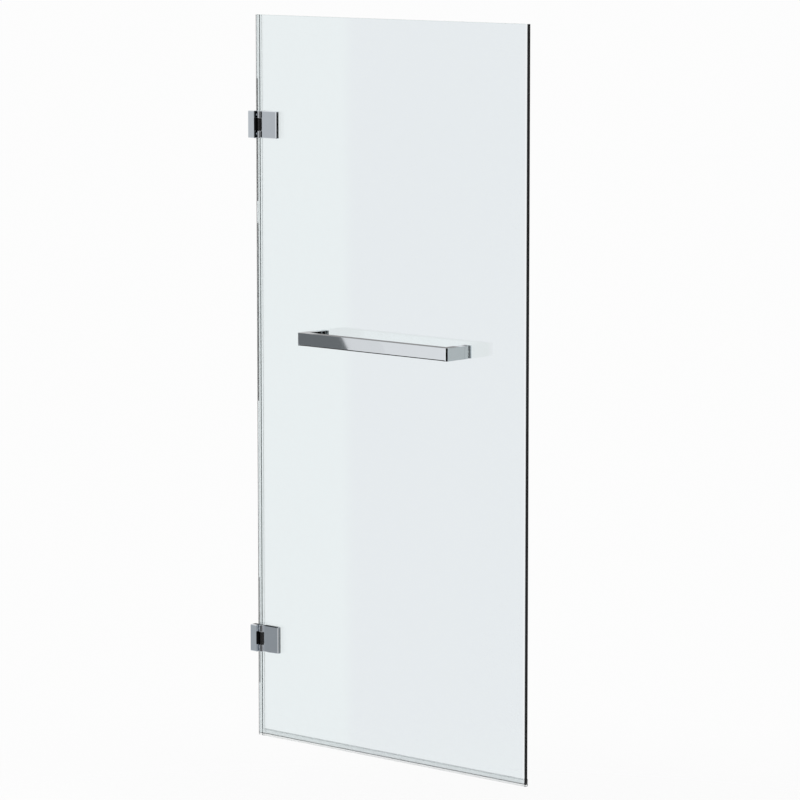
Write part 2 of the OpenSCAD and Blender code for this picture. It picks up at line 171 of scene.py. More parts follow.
def add_rod(name, start, axis, length, radius, sides=64):
    """Adds a rod that runs from start along an axis"""
    return add_cone(name, start, axis, length, radius, radius, sides)


def add_hexagon(name, start, axis, length, across):
    """Adds a six-sided rod, given its width across the flats"""
    return add_rod(name, start, axis, length, across / math.sqrt(3), 6)


def near(a, b, slack=0.02 * MM):
    """Whether two lengths are the same to a hair"""
    return abs(a - b) < slack


def running(axis):
    """Test that picks the edges of a block that run along an axis"""
    return lambda a, b: not near(getattr(a, axis), getattr(b, axis))


def lying_at(**places):
    """Test that picks the edges whose two ends both lie at the given places"""
    return lambda a, b: all(near(getattr(end, axis), place)
                            for end in (a, b) for axis, place in places.items())


def every_face(centre, normal):
    """Test that picks all the faces of a piece"""
    return True


def pick_edges(piece, chosen):
    """Opens a piece in edit mode with the edges selected that chosen(end, end) picks"""
    only(piece)
    bpy.context.tool_settings.mesh_select_mode = (False, True, False)
    mesh = piece.data
    for part in (mesh.vertices, mesh.polygons):
        for item in part:
            item.select = False
    for edge in mesh.edges:
        ends = [mesh.vertices[i] for i in edge.vertices]
        edge.select = chosen(ends[0].co, ends[1].co)
        if edge.select:
            ends[0].select = ends[1].select = True
    bpy.ops.object.mode_set(mode="EDIT")


def pick_faces(piece, chosen):
    """Opens a piece in edit mode with the faces selected that chosen(centre, normal) picks"""
    only(piece)
    bpy.context.tool_settings.mesh_select_mode = (False, False, True)
    mesh = piece.data
    for part in (mesh.vertices, mesh.edges):
        for item in part:
            item.select = False
    for face in mesh.polygons:
        face.select = chosen(face.center, face.normal)
    bpy.ops.object.mode_set(mode="EDIT")


def round_picked(radius, segments=4):
    """Rounds the edges that are selected in edit mode, or chamfers them with one segment"""
    bpy.ops.mesh.bevel(offset=radius, segments=segments, profile=0.5, affect="EDGES")
    leave_edit_mode()


def combine(piece, tool, operation):
    """Joins a tool to a piece, or cuts it out, and removes the tool"""
    only(piece)
    change = piece.modifiers.new(operation.lower(), "BOOLEAN")
    change.operation = operation
    change.solver = "EXACT"
    change.object = tool
    bpy.ops.object.modifier_apply(modifier=change.name)
    bpy.data.objects.remove(tool, do_unlink=True)


def weld(piece, *tools):
    """Joins more shapes to a piece"""
    for tool in tools:
        combine(piece, tool, "UNION")


def cut_out(piece, *tools):
    """Cuts shapes out of a piece"""
    for tool in tools:
        combine(piece, tool, "DIFFERENCE")


def soften(piece, radius, segments=2, sharper_than=35):
    """Breaks the edges that are still sharp with a small rounding"""
    only(piece)
    edge = piece.modifiers.new("edges", "BEVEL")
    edge.width = radius
    edge.segments = segments
    edge.limit_method = "ANGLE"
    edge.angle_limit = math.radians(sharper_than)
    bpy.ops.object.modifier_apply(modifier=edge.name)


def smooth(piece, angle=40):
    """Merges points that cuts left side by side, shades roundings smooth and keeps the flats flat"""
    pick_faces(piece, every_face)
    bpy.ops.mesh.remove_doubles(threshold=0.003 * MM)
    leave_edit_mode()
    only(piece)
    bpy.ops.object.shade_smooth_by_angle(angle=math.radians(angle))
    flats = piece.modifiers.new("flats", "WEIGHTED_NORMAL")
    flats.keep_sharp = True
    flats.weight = 80
    bpy.ops.object.modifier_apply(modifier=flats.name)
    nothing_selected()


def raised_copy(piece, name, lift):
    """Copies a piece with its own mesh, lifted along Z"""
    only(piece)
    bpy.ops.object.duplicate(linked=False)
    copy = bpy.context.active_object
    copy.name = name
    copy.location.z += lift
    bpy.ops.object.transform_apply(location=True, rotation=False, scale=False)
    nothing_selected()
    return copy


def join_as(name, pieces):
    """Joins finished shapes into one piece"""
    nothing_selected()
    for piece in pieces:
        piece.select_set(True)
    bpy.context.view_layer.objects.active = pieces[0]
    bpy.ops.object.join()
    pieces[0].name = name
    nothing_selected()
    return pieces[0]


def above_and_below(pitch):
    """The two heights that lie half a pitch below and above a hinge's middle"""
    return [-pitch / 2, pitch / 2]


# Hinge pieces, each modelled at the lower hinge
def make_wall_bracket():
    """Bracket with rounded corners, the pocket for the knuckle's foot and four countersunk holes"""
    low, high = LOWER_BRACKET_LOW, LOWER_BRACKET_HIGH
    bracket = add_block("lower_bracket_shell", low, high)
    pick_edges(bracket, running("x"))
    round_picked(BRACKET_CORNER)
    half_y, half_z = FOOT_HALF + SLIP, KNUCKLE_HIGH.z + SLIP
    cut_out(bracket, add_block("pocket", (FOOT_X, -half_y, -half_z), (high.x + PAST, half_y, half_z)))
    sink = WALL_SINK_R - WALL_HOLE_R
    for z in above_and_below(WALL_HOLE_PITCH):
        cut_out(bracket, add_rod("hole", (-PAST, WALL_HOLE_Y, z), "X", high.x + 2 * PAST, WALL_HOLE_R))
        cut_out(bracket, add_cone("sink", (high.x - sink, WALL_HOLE_Y, z), "X", sink + PAST,
                                  WALL_HOLE_R, WALL_SINK_R + PAST))
    wide, narrow = NECK_HEAD_R + SLIP + RECESS, NECK_SCREW_R + SLIP
    for z in above_and_below(NECK_SCREW_PITCH):
        cut_out(bracket, add_rod("hole", (-PAST, 0, z), "X", high.x, narrow))
        cut_out(bracket, add_cone("sink", (-PAST, 0, z), "X", wide - narrow + PAST, wide + PAST, narrow))
    soften(bracket, BRACKET_EDGE, 3, 60)
    return bracket


def make_knuckle():
    """Middle knuckle with its neck and foot, bored for the pin"""
    low, high = KNUCKLE_LOW, KNUCKLE_HIGH
    height = high.z - low.z
    knuckle = add_rod("lower_knuckle_shell", (PIN_X, 0, low.z), "Z", height, BARREL_R, 72)
    weld(knuckle, add_block("foot", (low.x, -FOOT_HALF, low.z), (PIN_X, FOOT_HALF, high.z)))
    weld(knuckle, add_block("neck", (LOWER_BRACKET_HIGH.x, low.y, low.z),
                            (PIN_X - NECK_SHORT, NECK_BACK, high.z)))
    cut_out(knuckle, add_rod("bore", (PIN_X, 0, low.z - PAST), "Z", height + 2 * PAST,
                             PIN_HIGH.y + TIGHT, 48))
    hole_end = PIN_LOW.x - NECK_HOLE_SHORT
    for z in above_and_below(NECK_SCREW_PITCH):
        cut_out(knuckle, add_rod("hole", (0, 0, z), "X", hole_end, NECK_SCREW_R + TIGHT, 32))
    soften(knuckle, KNUCKLE_EDGE, 3)
    return knuckle


def make_front_plate():
    """Front clamp plate with rounded edges, and its two barrels on their webs"""
    low, high = PLATE_LOW, PLATE_HIGH
    front = WEB_FRONT - PLATE_PROUD
    plate = add_block("lower_plate_shell", (PLATE_LEFT, front, low.z),
                      (high.x, front + PLATE_THICK, high.z))
    pick_edges(plate, running("y"))
    round_picked(PLATE_CORNER, 5)
    pick_edges(plate, lying_at(y=front))
    round_picked(PLATE_CHAMFER, 1)
    for side in (-1, 1):
        inner, outer, web_end = side * BARREL_BOTTOM, side * HINGE_HALF, side * WEB_TOP
        bottom, top = min(inner, outer), max(inner, outer)
        barrel = add_rod("barrel", (PIN_X, 0, bottom), "Z", top - bottom, BARREL_R, 72)
        pick_edges(barrel, lambda a, b: near(a.z, b.z))
        round_picked(BARREL_RIM, 3)
        bottom, top = min(inner, web_end), max(inner, web_end)
        web = add_block("web", (PIN_X, WEB_FRONT, bottom), (PLATE_LEFT + WEB_REACH, WEB_BACK, top))
        pick_edges(web, running("x"))
        round_picked(WEB_EDGE, 2)
        weld(plate, barrel, web)
        cut_out(plate, add_rod("bore", (PIN_X, 0, bottom - 2 * PAST), "Z", top - bottom + 5 * PAST,
                               CAP_R + TIGHT, 48))
    for z in above_and_below(CLAMP_PITCH):
        cut_out(plate, add_rod("hole", (CLAMP_X, front + PLATE_SKIN, z), "Y", PLATE_THICK + PAST / 2,
                               CLAMP_SCREW_R + TIGHT, 32))
    soften(plate, FINE_EDGE, 2, 60)
    return plate


def make_pin_cap(side):
    """Cap that closes a barrel, with a rounded rim and a shallow dished middle"""
    bottom = CAP_HIGH.z - CAP_THICK if side > 0 else CAP_LOW.z
    end = CAP_HIGH.z if side > 0 else CAP_LOW.z
    cap = add_rod("cap", (PIN_X, 0, bottom), "Z", CAP_THICK, CAP_R, 48)
    pick_edges(cap, lying_at(z=end))
    round_picked(CAP_RIM, 3)
    pick_faces(cap, lambda centre, normal: normal.z * side > 0.99)
    bpy.ops.mesh.inset(thickness=CAP_RING)
    bpy.ops.mesh.inset(thickness=CAP_DISH)
    bpy.ops.transform.translate(value=(0, 0, -CAP_DISH * side))
    leave_edit_mode()
    return cap


def make_pin_caps():
    """Both caps of a hinge"""
    return join_as("lower_caps_shell", [make_pin_cap(-1), make_pin_cap(1)])


def make_socket_screw(x, z, radius, head_radius, tip_y, head_y, key):
    """Countersunk screw along +Y with a hexagon socket in its head"""
    head = head_radius - radius
    screw = add_rod("screw", (x, tip_y, z), "Y", head_y - head / 2 - tip_y, radius, 48)
    weld(screw, add_cone("head", (x, head_y - head, z), "Y", head, radius, head_radius))
    cut_out(screw, add_hexagon("socket", (x, head_y - head * SOCKET_SHARE, z), "Y", head * 2, key))
    soften(screw, FINE_EDGE)
    return screw


def make_clamp_screws():
    """The two screws behind the back clamp plate"""
    screws = [make_socket_screw(CLAMP_X, z, CLAMP_SCREW_R, CLAMP_HEAD_R, CLAMP_LOW.y, CLAMP_HIGH.y,
                                CLAMP_KEY)
              for z in above_and_below(CLAMP_PITCH)]
    return join_as("lower_clamp_screws_shell", screws)


def cut_countersunk(plate, x, z, front, back, narrow, wide):
    """Cuts a hole along Y that opens into a countersink at the back"""
    cut_out(plate, add_rod("hole", (x, front - PAST, z), "Y", back - front + 2 * PAST, narrow, 48))
    depth = wide - narrow
    cut_out(plate, add_cone("sink", (x, back - depth, z), "Y", depth + PAST, narrow, wide + PAST))


def make_back_plate():
    """Back clamp plate with rounded edges and two countersunk holes"""
    low, high = BACK_PLATE_LOW, BACK_PLATE_HIGH
    plate = add_block("lower_back_plate_shell", low, high)
    pick_edges(plate, running("y"))
    round_picked(BACK_PLATE_CORNER, 6)
    pick_edges(plate, lying_at(y=high.y))
    round_picked(BACK_PLATE_RIM)
    narrow, wide = CLAMP_SCREW_R + SLIP, CLAMP_HEAD_R + SLIP + RECESS
    for z in above_and_below(CLAMP_PITCH):
        cut_countersunk(plate, CLAMP_X, z, low.y, high.y, narrow, wide)
    soften(plate, BACK_PLATE_EDGE)
    return plate


def make_knuckle_screw(z):
    """Countersunk screw along +X with a hexagon socket in its head"""
    head = NECK_HEAD_R - NECK_SCREW_R
    length = PIN_LOW.x - NECK_SCREW_SHORT - RECESS - head / 2
    screw = add_rod("screw", (RECESS + head / 2, 0, z), "X", length, NECK_SCREW_R, 40)
    weld(screw, add_cone("head", (RECESS, 0, z), "X", head, NECK_HEAD_R, NECK_SCREW_R, 48))
    cut_out(screw, add_hexagon("socket", (RECESS - PAST, 0, z), "X", NECK_SOCKET + PAST, NECK_KEY))
    soften(screw, FINE_EDGE)
    return screw


def make_knuckle_screws():
    """Both screws in the wall side of a bracket"""
    screws = [make_knuckle_screw(z) for z in above_and_below(NECK_SCREW_PITCH)]
    return join_as("lower_knuckle_screws_shell", screws)


# Towel bar and its fittings
def make_towel_bar():
    """Square bar with a post drawn out of each end, rounded front corners and spigot pockets"""
    low, high = BAR_LOW, BAR_HIGH
    back, middle = low.y + BAR_T, (low.x + high.x) / 2
    bar = add_block("towel_bar_shell", low, (high.x, back, high.z))
    for cut_x in (low.x + BAR_T, high.x - BAR_T):
        pick_faces(bar, every_face)
        bpy.ops.mesh.bisect(plane_co=(cut_x, 0, 0), plane_no=(1, 0, 0))
        leave_edit_mode()
    pick_faces(bar, lambda centre, normal: normal.y > 0.9 and abs(centre.x - middle) > BAR_T)
    bpy.ops.mesh.extrude_region_move(TRANSFORM_OT_translate={"value": (0, high.y - back, 0)})
    leave_edit_mode()
    left, right = lying_at(x=low.x, y=low.y), lying_at(x=high.x, y=low.y)
    pick_edges(bar, lambda a, b: left(a, b) or right(a, b))
    round_picked(BAR_CORNER, 10)
    pick_edges(bar, lying_at(y=low.y, z=low.z))
    round_picked(BAR_UNDER, 6)
    soften(bar, BAR_EDGE, 5, 50)
    half_w, half_h = SPIGOT_HALF_W + SLIP, SPIGOT_HALF_H + SLIP
    for x in POST_XS:
        cut_out(bar, add_block("pocket", (x - half_w, high.y - SPIGOT_LEN - SLIP, BAR_Z - half_h),
                               (x + half_w, high.y + PAST, BAR_Z + half_h)))
        cut_out(bar, add_rod("hole", (x, high.y - SPIGOT_LEN / 2, low.z - PAST), "Z", BAR_H / 2,
                             SET_SCREW_R + TIGHT, 32))
    return bar


def make_bar_base(x):
    """Base between a post and the glass, with its spigot and bolt hole"""
    front = BAR_HIGH.y
    base = add_block("base", (x - BAR_T / 2, front, BASE_LOW.z),
                     (x + BAR_T / 2, BASE_HIGH.y, BASE_HIGH.z))
    soften(base, BASE_EDGE, 3)
    spigot = add_block("spigot", (x - SPIGOT_HALF_W, BASE_LOW.y, BAR_Z - SPIGOT_HALF_H),
                       (x + SPIGOT_HALF_W, front + PAST, BAR_Z + SPIGOT_HALF_H))
    pick_edges(spigot, lying_at(y=BASE_LOW.y))
    round_picked(SPIGOT_EDGE, 2)
    weld(base, spigot)
    cut_out(base, add_rod("hole", (x, BASE_LOW.y + BOLT_HOLE_SHORT, BAR_Z), "Y", BOLT_HOLE_LONG,
                          BOLT_R + TIGHT, 48))
    return base


def make_bar_bases():
    """Both bases"""
    return join_as("bar_bases_shell", [make_bar_base(x) for x in POST_XS])


def make_bar_back_plate(x):
    """Square plate behind the glass, with a countersunk hole"""
    front, back = BAR_PLATE_LOW.y, BAR_PLATE_HIGH.y
    plate = add_block("plate", (x - BAR_T / 2, front, BAR_PLATE_LOW.z),
                      (x + BAR_T / 2, back, BAR_PLATE_HIGH.z))
    soften(plate, BASE_EDGE, 3)
    cut_countersunk(plate, x, BAR_Z, front, back, BOLT_R + SLIP, BOLT_HEAD_R + SLIP + RECESS)
    return plate


def make_bar_back_plates():
    """Both square plates behind the glass"""
    return join_as("bar_back_plates_shell", [make_bar_back_plate(x) for x in POST_XS])


def make_bar_bolts():
    """Both bolts through the glass"""
    bolts = [make_socket_screw(x, BAR_Z, BOLT_R, BOLT_HEAD_R, BOLT_LOW.y, BOLT_HIGH.y, BOLT_KEY)
             for x in POST_XS]
    return join_as("bar_bolts_shell", bolts)


def make_set_screw(x):
    """Grub screw under a post, with a hexagon socket"""
    y = (SET_LOW.y + SET_HIGH.y) / 2
    screw = add_rod("grub", (x, y, SET_LOW.z), "Z", SET_HIGH.z - SET_LOW.z, SET_SCREW_R, 32)
    cut_out(screw, add_hexagon("socket", (x, y, SET_LOW.z - PAST), "Z", SET_SOCKET + PAST, SET_KEY))
    soften(screw, FINE_EDGE)
    return screw


def make_set_screws():
    """Both grub screws"""
    return join_as("bar_set_screws_shell", [make_set_screw(x) for x in POST_XS])


# Clear seals
def make_hinge_seal():
    """Clear channel over the hinge side of the glass, with a hair of air round the sheet"""
    low, high = SIDE_SEAL_LOW, SIDE_SEAL_HIGH
    seal = add_block("hinge_seal_piece", low, high)
    cut_out(seal, add_block("slot", (GLASS_LOW.x - AIR, GLASS_LOW.y - AIR, low.z - PAST),
                            (high.x + PAST, GLASS_HIGH.y + AIR, high.z + PAST)))
    soften(seal, SEAL_EDGE, 3)
    return seal


def make_bottom_seal():
    """Clear channel over the bottom edge, with its hollow wiping chamber"""
    low, high = RIM_SEAL_LOW, RIM_SEAL_HIGH
    left, right = low.x + AIR, high.x + PAST
    seal = add_block("bottom_seal_piece", (left, low.y, low.z), high)
    cut_out(seal, add_block("slot", (left - PAST, GLASS_LOW.y - AIR, GLASS_LOW.z - AIR),
                            (right, GLASS_HIGH.y + AIR, high.z + PAST)))
    floor = low.z + SEAL_WALL
    cut_out(seal, add_block("chamber", (left - PAST, GLASS_LOW.y, floor),
                            (right, GLASS_HIGH.y, floor + SEAL_CHAMBER)))
    soften(seal, SEAL_EDGE, 3)
    return seal


# Node helpers
def grey(level):
    """Neutral level as a colour"""
    return (level, level, level)


def feed(links, value, socket):
    """Links another node's output to a socket, or sets the socket to a number or a colour"""
    if isinstance(value, bpy.types.NodeSocket):
        links.new(value, socket)
    elif isinstance(value, tuple):
        socket.default_value = (*value, 1)
    else:
        socket.default_value = value


def compute(nodes, links, operation, first, second):
    """Maths node on two values, each a number or another node's output"""
    step = nodes.new("ShaderNodeMath")
    step.operation = operation
    feed(links, first, step.inputs[0])
    feed(links, second, step.inputs[1])
    return step.outputs[0]


def mix_colours(nodes, links, amount, first, second):
    """Mixes two colours, each a plain one or another node's output, by a mask"""
    mix = nodes.new("ShaderNodeMix")
    mix.data_type = "RGBA"
    links.new(amount, mix.inputs[0])
    feed(links, first, mix.inputs[6])
    feed(links, second, mix.inputs[7])
    return mix.outputs[2]


def add_noise(nodes, links, vector, scale, detail=2):
    """Noise over a piece"""
    noise = nodes.new("ShaderNodeTexNoise")
    noise.inputs["Detail"].default_value = detail
    links.new(vector, noise.inputs["Vector"])
    feed(links, scale, noise.inputs["Scale"])
    return noise.outputs["Fac"]


def soft_step(nodes, links, value, start, end):
    """Rises softly from nought at one value to one at another"""
    step = nodes.new("ShaderNodeMapRange")
    step.interpolation_type = "SMOOTHSTEP"
    step.inputs["From Min"].default_value = start
    step.inputs["From Max"].default_value = end
    links.new(value, step.inputs["Value"])
    return step.outputs["Result"]


def mix_on_surface(nodes, links, amount, first, second, output="ShaderNodeOutputMaterial"):
    """Mixes two shaders by an amount, for the surface"""
    mix = nodes.new("ShaderNodeMixShader")
    links.new(amount, mix.inputs[0])
    links.new(first.outputs[0], mix.inputs[1])
    links.new(second.outputs[0], mix.inputs[2])
    links.new(mix.outputs[0], nodes.new(output).inputs["Surface"])


def new_material(name):
    """New node material with its shader, and a texture coordinate node"""
    material = bpy.data.materials.new(name)
    material.use_nodes = True
    nodes = material.node_tree.nodes
    coords = nodes.new("ShaderNodeTexCoord")
    return material, nodes, material.node_tree.links, nodes["Principled BSDF"], coords


def bare_material(name):
    """New node material with nothing in it yet"""
    material = bpy.data.materials.new(name)
    material.use_nodes = True
    material.node_tree.nodes.clear()
    return material, material.node_tree.nodes, material.node_tree.links


def new_group(name, inputs, outputs):
    """New shader group with named sockets, and its two end nodes"""
    group = bpy.data.node_groups.new(name, "ShaderNodeTree")
    for label, kind, value in inputs:
        socket = group.interface.new_socket(label, in_out="INPUT", socket_type=kind)
        if value is not None:
            socket.default_value = value
    for label, kind in outputs:
        group.interface.new_socket(label, in_out="OUTPUT", socket_type=kind)
    return group, group.nodes.new("NodeGroupInput"), group.nodes.new("NodeGroupOutput")


# Finishes
FLOAT, COLOR, VECTOR = "NodeSocketFloat", "NodeSocketColor", "NodeSocketVector"


def make_finish_group():
    """Slow mottling of colour and gloss with a fine grain, used by every solid finish"""
    group, start, end = new_group(
        "uneven_finish",
        [("Vector", VECTOR, None), ("Light Tone", COLOR, (0.8, 0.8, 0.8, 1)),
         ("Dark Tone", COLOR, (0.7, 0.7, 0.7, 1)), ("Patch Scale", FLOAT, 40.0),
         ("Grain Scale", FLOAT, 1200.0), ("Gloss Low", FLOAT, 0.05), ("Gloss High", FLOAT, 0.1)],
        [("Color", COLOR), ("Roughness", FLOAT), ("Height", FLOAT)])
    nodes, links, given = group.nodes, group.links, start.outputs
    patches = add_noise(nodes, links, given["Vector"], given["Patch Scale"], 3)
    grain = add_noise(nodes, links, given["Vector"], given["Grain Scale"])
    tone = mix_colours(nodes, links, patches, given["Dark Tone"], given["Light Tone"])
    gloss = nodes.new("ShaderNodeMapRange")
    gloss.inputs["From Max"].default_value = 0.5
    links.new(compute(nodes, links, "MULTIPLY", patches, grain), gloss.inputs["Value"])
    links.new(given["Gloss Low"], gloss.inputs["To Min"])
    links.new(given["Gloss High"], gloss.inputs["To Max"])
    links.new(tone, end.inputs["Color"])
    links.new(gloss.outputs["Result"], end.inputs["Roughness"])
    links.new(grain, end.inputs["Height"])
    return group


FINISH = make_finish_group()


def solid_finish(name, light, dark, patch, grain, gloss, bump, metal=0.0):
    """Opaque material made from the uneven finish, with the height of its grain in metres"""
    material, nodes, links, shader, coords = new_material(name)
    finish = nodes.new("ShaderNodeGroup")
    finish.node_tree = FINISH
    links.new(coords.outputs["Object"], finish.inputs["Vector"])
    given = {"Light Tone": light, "Dark Tone": dark, "Patch Scale": patch, "Grain Scale": grain,
             "Gloss Low": gloss[0], "Gloss High": gloss[1]}
    for label, value in given.items():
        feed(links, value, finish.inputs[label])
    links.new(finish.outputs["Color"], shader.inputs["Base Color"])
    links.new(finish.outputs["Roughness"], shader.inputs["Roughness"])
    shader.inputs["Metallic"].default_value = metal
    relief = nodes.new("ShaderNodeBump")
    relief.inputs["Strength"].default_value = 0.3
    relief.inputs["Distance"].default_value = bump
    links.new(finish.outputs["Height"], relief.inputs["Height"])
    links.new(relief.outputs["Normal"], shader.inputs["Normal"])
    return material


def position_mask(nodes, links, coords, axis, edge, test="GREATER_THAN"):
    """White where the piece lies beyond a place along one axis, or before it with the other test"""
    split = nodes.new("ShaderNodeSeparateXYZ")
    links.new(coords.outputs["Object"], split.inputs[0])
    return compute(nodes, links, test, split.outputs[axis], edge)


def band_mask(nodes, links, coords, axis, start, end):
    """White where the piece lies between two places along one axis"""
    after = position_mask(nodes, links, coords, axis, start)
    before = position_mask(nodes, links, coords, axis, end, "LESS_THAN")
    return compute(nodes, links, "MULTIPLY", after, before)


def clear_material(name, light, dark, scale, ior, bands):
    """Clear and faintly uneven, with bands of another tone between given places along an axis: painted
    highlights and painted shade, besides the glass's green edge
    """
    material, nodes, links, shader, coords = new_material(name)
    drift = add_noise(nodes, links, coords.outputs["Object"], scale)
    colour = mix_colours(nodes, links, drift, light, dark)
    for axis, start, end, tone in bands:
        mask = band_mask(nodes, links, coords, axis, start, end)
        colour = mix_colours(nodes, links, mask, colour, tone)
    links.new(colour, shader.inputs["Base Color"])
    shader.inputs["Roughness"].default_value = 0
    shader.inputs["IOR"].default_value = ior
    shader.inputs["Transmission Weight"].default_value = 1
    return material


def glass_material():
    """Clear sheet glass with a green top cut edge, a painted highlight strip near its right edge, and
    painted shade over its right cut edge
    """
    top, right = GLASS_HIGH.z, GLASS_HIGH.x
    bands = [("Z", top - 0.65 * MM, top + MM, (0.50, 0.60, 0.58)),
             # Painted highlight: a lighter, clearer strip on the sheet a little in from its right edge
             ("X", right - 5.6 * MM, right - 2.2 * MM, (0.99, 0.99, 0.99)),
             # Painted shade: the green of the right cut edge deepened to near black and spread onto the
             # faces beside it
             ("X", right - 1.3 * MM, right + MM, (0.004, 0.010, 0.008))]
    return clear_material("clear_glass_sheet", (0.835, 0.885, 0.895), (0.815, 0.872, 0.885),
                          scale=1.2, ior=1.5, bands=bands)


def seal_material(name, bands):
    """Clear soft plastic"""
    return clear_material(name, (0.90, 0.91, 0.91), (0.86, 0.87, 0.87), scale=60, ior=1.45, bands=bands)


def side_seal_material():
    """Plastic of the hinge seal, with painted shade in a faint line near its closed side and where its
    lips end, and a painted highlight at its back
    """
    low, high = SIDE_SEAL_LOW, SIDE_SEAL_HIGH
    return seal_material("clear_side_seal", [
        # Painted shade near the closed side and at the lips' ends, and a painted highlight along the back
        ("X", low.x + 1.5 * MM, low.x + 4.2 * MM, (0.88, 0.89, 0.89)),
        ("X", high.x - 2.2 * MM, high.x + MM, (0.20, 0.22, 0.22)),
        ("Y", GLASS_HIGH.y - MM, high.y + MM, (0.98, 0.985, 0.985))])


def rim_seal_material():
    """Plastic of the bottom seal, with painted shade where its lips end and along its lower face"""
    low, high = RIM_SEAL_LOW, RIM_SEAL_HIGH
    return seal_material("clear_rim_seal", [
        # Painted shade at the lips' ends and along the lower face
        ("Z", high.z - 0.8 * MM, high.z + MM, (0.58, 0.60, 0.60)),
        ("Z", low.z - MM, low.z + 0.6 * MM, (0.82, 0.84, 0.84))])


def knuckle_material():
    """Dull black, with a satin coat on the turned barrel"""
    material = solid_finish("dull_black", (0.0016, 0.0016, 0.0018), (0.0008, 0.0008, 0.001),
                            patch=150, grain=2600, gloss=(0.3, 0.42), bump=0.00002)
    nodes, links = material.node_tree.nodes, material.node_tree.links
    shader = nodes["Principled BSDF"]
    shader.inputs["Specular IOR Level"].default_value = 0.05
    coords = next(node for node in nodes if node.type == "TEX_COORD")
    barrel = position_mask(nodes, links, coords, "X", PIN_X - 1.2 * MM)
    links.new(barrel, shader.inputs["Coat Weight"])
    shader.inputs["Coat Roughness"].default_value = 0.18
    return material


def washer_material():
    """Thin milky plastic that lets most of the metal behind it show"""
    material = solid_finish("milky_washer", (0.62, 0.63, 0.63), (0.56, 0.57, 0.57),
                            patch=200, grain=2400, gloss=(0.35, 0.45), bump=0.00001)
    material.node_tree.nodes["Principled BSDF"].inputs["Alpha"].default_value = 0.3
    return material


def chrome(name, light, dark, patch):
    """Polished chrome"""
    return solid_finish(name, light, dark, patch,
                        grain=1500, gloss=(0.030, 0.042), bump=0.000001, metal=1.0)


def make_materials():
    """All finishes by the record's slot name"""
    return {
        "clear_glass": glass_material(),
        "clear_plastic": washer_material(),
        "chrome_hinge": chrome("polished_chrome_hinge", (0.695, 0.725, 0.76), (0.665, 0.695, 0.73), 60),
        "chrome_bar": chrome("polished_chrome_bar", (0.695, 0.725, 0.755), (0.665, 0.695, 0.725), 25),
        "black_knuckle": knuckle_material(),
        "steel_screws": solid_finish("stainless", (0.60, 0.60, 0.61), (0.52, 0.52, 0.53), patch=200,
                                     grain=3000, gloss=(0.22, 0.34), bump=0.00001, metal=1.0),
        "steel_pin": solid_finish("ground_steel", (0.62, 0.62, 0.63), (0.54, 0.54, 0.55), patch=200,
                                  grain=4000, gloss=(0.18, 0.28), bump=0.00001, metal=1.0),
        "white_plastic": solid_finish("natural_nylon", (0.80, 0.80, 0.77), (0.74, 0.74, 0.71), patch=120,
                                      grain=2500, gloss=(0.42, 0.55), bump=0.00002),
        "black_plastic": solid_finish("black_acetal", grey(0.012), grey(0.008), patch=150,
                                      grain=2600, gloss=(0.35, 0.45), bump=0.00002),
        "gasket_rubber": solid_finish("dark_rubber", (0.06, 0.06, 0.065), (0.04, 0.04, 0.045), patch=200,
                                      grain=2800, gloss=(0.6, 0.8), bump=0.00004),
    }


# Fitting the pieces and finishes to the frame
def dress_nodes(materials):
    """Gives every CAD node the finish of its slot"""
    for part in frame["record"]["subparts"]:
        node = frame["nodes"][part["node"]]
        for slot in node.material_slots:
            slot.material = materials[part["material_slot"]]
        if not node.material_slots:
            node.data.materials.append(materials[part["material_slot"]])


def fit(piece, node, body, material):
    """Puts a finished piece in place of its CAD node"""
    piece.data.materials.clear()
    piece.data.materials.append(material)
    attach(piece, body)
    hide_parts(node)


def build_hinges(materials):
    """Models the hinge pieces once, fits them at both hinges and shades each for itself"""
    hinge_parts = [
        (make_wall_bracket, "wall_bracket", "chrome_hinge", "wall_side", 25),
        (make_knuckle, "knuckle", "black_knuckle", "wall_side", 40),
        (make_knuckle_screws, "knuckle_screws", "steel_screws", "wall_side", 40),
        (make_front_plate, "front_plate", "chrome_hinge", "door", 40),
        (make_pin_caps, "pin_caps", "chrome_hinge", "door", 40),
        (make_back_plate, "back_plate", "chrome_hinge", "door", 40),
        (make_clamp_screws, "clamp_screws", "steel_screws", "door", 40),
    ]
    for make, name, slot, body, smooth_to in hinge_parts:
        lower = make()
        lower.name = "lower_" + name + "_piece"
        upper = raised_copy(lower, "upper_" + name + "_piece", UPPER_HINGE_Z)
        smooth(lower, smooth_to)
        smooth(upper, smooth_to)
        fit(lower, "lower_" + name, body, materials[slot])
        fit(upper, "upper_" + name, body, materials[slot])


def build_door_fittings(materials):
    """Models the bar with its fittings, and the two clear seals"""
    door_parts = [
        (make_towel_bar, "towel_bar", "chrome_bar", materials["chrome_bar"]),
        (make_bar_bases, "bar_bases", "chrome_bar", materials["chrome_bar"]),
        (make_bar_back_plates, "bar_back_plates", "chrome_bar", materials["chrome_bar"]),
        (make_bar_bolts, "bar_bolts", "steel_screws", materials["steel_screws"]),
        (make_set_screws, "bar_set_screws", "steel_screws", materials["steel_screws"]),
        (make_hinge_seal, "hinge_seal", "clear_plastic", side_seal_material()),
        (make_bottom_seal, "bottom_seal", "clear_plastic", rim_seal_material()),
    ]
    for make, node, slot, material in door_parts:
        piece = make()
        piece.name = node + "_piece"
        smooth(piece)
        fit(piece, node, "door", material)


# Studio
BACKGROUND_WHITE = 0.979
WORLD_LIGHT = 0.6
FLOOR_MIDDLE = (0.37, 0, GLASS_LOW.z - 0.5)
FLOOR_FULL, FLOOR_GONE = 1.3, 3.0
FLOOR_TONE, FLOOR_GLOW = 0.35, 0.68


def seen_directly(nodes, links):
    """One for rays that come from the camera or by way of metal and glass"""
    path = nodes.new("ShaderNodeLightPath").outputs
    direct = compute(nodes, links, "MAXIMUM", path["Is Camera Ray"], path["Is Glossy Ray"])
    return compute(nodes, links, "MAXIMUM", direct, path["Is Transmission Ray"])


